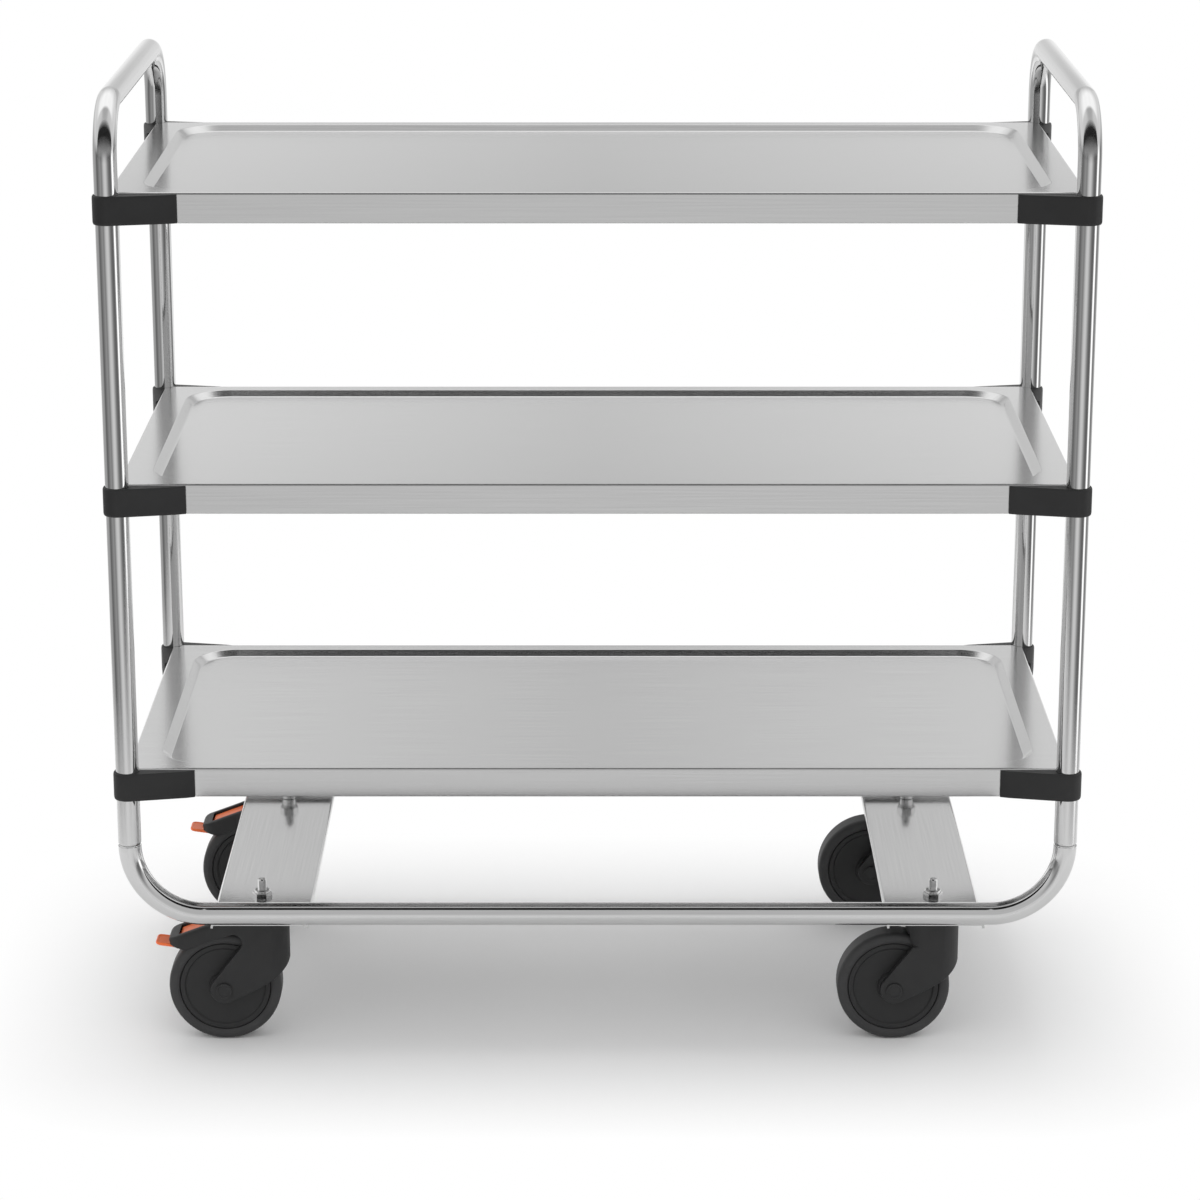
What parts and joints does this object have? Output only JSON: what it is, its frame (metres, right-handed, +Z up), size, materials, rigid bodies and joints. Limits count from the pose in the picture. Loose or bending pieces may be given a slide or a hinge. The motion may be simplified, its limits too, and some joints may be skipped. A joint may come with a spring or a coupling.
{
  "type": "food service trolley",
  "caption": "Stainless serving trolley: recessed trays between bent-tube handle frames, on swivel casters with foot brakes on the left pair.",
  "frame": {"origin": "on the floor, under the centre of the tube frame and shelves", "axes": "+Z up; X along the shelves, -X to the braked end; -Y to the front in the picture"},
  "size_m": [1.05, 0.5, 1.0625],
  "materials": {
    "tube_steel": "bright satin stainless tube",
    "sheet_steel": "brushed stainless sheet",
    "bracket_plastic": "charcoal moulded plastic, fine texture",
    "caster_plastic": "charcoal glass-filled plastic",
    "wheel_plastic": "charcoal moulded plastic",
    "axle_cap": "charcoal cap",
    "tyre_rubber": "dark grey rubber",
    "shoe_rubber": "dark grey rubber",
    "brake_orange": "orange moulded plastic",
    "fastener_steel": "bright zinc-plated steel"
  },
  "bodies": {
    "frame": {"left_handle_frame": "tube_steel", "right_handle_frame": "tube_steel", "front_lower_rail": "tube_steel", "rear_lower_rail": "tube_steel", "left_cross_beam": "sheet_steel", "right_cross_beam": "sheet_steel", "top_shelf": "sheet_steel", "top_bracket_front_left": "bracket_plastic", "top_bracket_front_right": "bracket_plastic", "top_bracket_rear_left": "bracket_plastic", "top_bracket_rear_right": "bracket_plastic", "middle_shelf": "sheet_steel", "middle_bracket_front_left": "bracket_plastic", "middle_bracket_front_right": "bracket_plastic", "middle_bracket_rear_left": "bracket_plastic", "middle_bracket_rear_right": "bracket_plastic", "bottom_shelf": "sheet_steel", "bottom_bracket_front_left": "bracket_plastic", "bottom_bracket_front_right": "bracket_plastic", "bottom_bracket_rear_left": "bracket_plastic", "bottom_bracket_rear_right": "bracket_plastic", "front_left_king_bolt": "fastener_steel", "front_left_swivel_race": "fastener_steel", "front_left_washer": "fastener_steel", "front_left_lock_nut": "fastener_steel", "front_right_king_bolt": "fastener_steel", "front_right_swivel_race": "fastener_steel", "front_right_washer": "fastener_steel", "front_right_lock_nut": "fastener_steel", "rear_left_king_bolt": "fastener_steel", "rear_left_swivel_race": "fastener_steel", "rear_left_washer": "fastener_steel", "rear_left_lock_nut": "fastener_steel", "rear_right_king_bolt": "fastener_steel", "rear_right_swivel_race": "fastener_steel", "rear_right_washer": "fastener_steel", "rear_right_lock_nut": "fastener_steel"},
    "front_left_caster": {"front_left_fork": "caster_plastic", "front_left_axle": "axle_cap", "front_left_pedal_pin": "fastener_steel"},
    "front_left_wheel": {"front_left_tyre": "tyre_rubber", "front_left_wheel_core": "wheel_plastic"},
    "front_left_brake": {"front_left_brake_pedal": "brake_orange", "front_left_brake_shoe": "shoe_rubber"},
    "front_right_caster": {"front_right_fork": "caster_plastic", "front_right_axle": "axle_cap"},
    "front_right_wheel": {"front_right_tyre": "tyre_rubber", "front_right_wheel_core": "wheel_plastic"},
    "rear_left_caster": {"rear_left_fork": "caster_plastic", "rear_left_axle": "axle_cap", "rear_left_pedal_pin": "fastener_steel"},
    "rear_left_wheel": {"rear_left_tyre": "tyre_rubber", "rear_left_wheel_core": "wheel_plastic"},
    "rear_left_brake": {"rear_left_brake_pedal": "brake_orange", "rear_left_brake_shoe": "shoe_rubber"},
    "rear_right_caster": {"rear_right_fork": "caster_plastic", "rear_right_axle": "axle_cap"},
    "rear_right_wheel": {"rear_right_tyre": "tyre_rubber", "rear_right_wheel_core": "wheel_plastic"}
  },
  "joints": [
    {"name": "front_left_swivel", "type": "hinge", "parent": "frame", "child": "front_left_caster", "pos_m": [-0.3715, -0.187, 0], "axis": [0, 0, 1], "continuous": true},
    {"name": "front_left_roll", "type": "hinge", "parent": "front_left_caster", "child": "front_left_wheel", "pos_m": [-0.414, -0.187, 0.0625], "axis": [0, 1, 0], "continuous": true},
    {"name": "front_left_brake_press", "type": "hinge", "parent": "front_left_caster", "child": "front_left_brake", "pos_m": [-0.4275, -0.187, 0.13037], "axis": [0, -1, 0], "range_deg": [0, 8]},
    {"name": "front_right_swivel", "type": "hinge", "parent": "frame", "child": "front_right_caster", "pos_m": [0.3715, -0.187, 0], "axis": [0, 0, 1], "continuous": true},
    {"name": "front_right_roll", "type": "hinge", "parent": "front_right_caster", "child": "front_right_wheel", "pos_m": [0.329, -0.187, 0.0625], "axis": [0, 1, 0], "continuous": true},
    {"name": "rear_left_swivel", "type": "hinge", "parent": "frame", "child": "rear_left_caster", "pos_m": [-0.3715, 0.187, 0], "axis": [0, 0, 1], "continuous": true},
    {"name": "rear_left_roll", "type": "hinge", "parent": "rear_left_caster", "child": "rear_left_wheel", "pos_m": [-0.414, 0.187, 0.0625], "axis": [0, 1, 0], "continuous": true},
    {"name": "rear_left_brake_press", "type": "hinge", "parent": "rear_left_caster", "child": "rear_left_brake", "pos_m": [-0.4275, 0.187, 0.13037], "axis": [0, -1, 0], "range_deg": [0, 8]},
    {"name": "rear_right_swivel", "type": "hinge", "parent": "frame", "child": "rear_right_caster", "pos_m": [0.3715, 0.187, 0], "axis": [0, 0, 1], "continuous": true},
    {"name": "rear_right_roll", "type": "hinge", "parent": "rear_right_caster", "child": "rear_right_wheel", "pos_m": [0.329, 0.187, 0.0625], "axis": [0, 1, 0], "continuous": true}
  ]
}
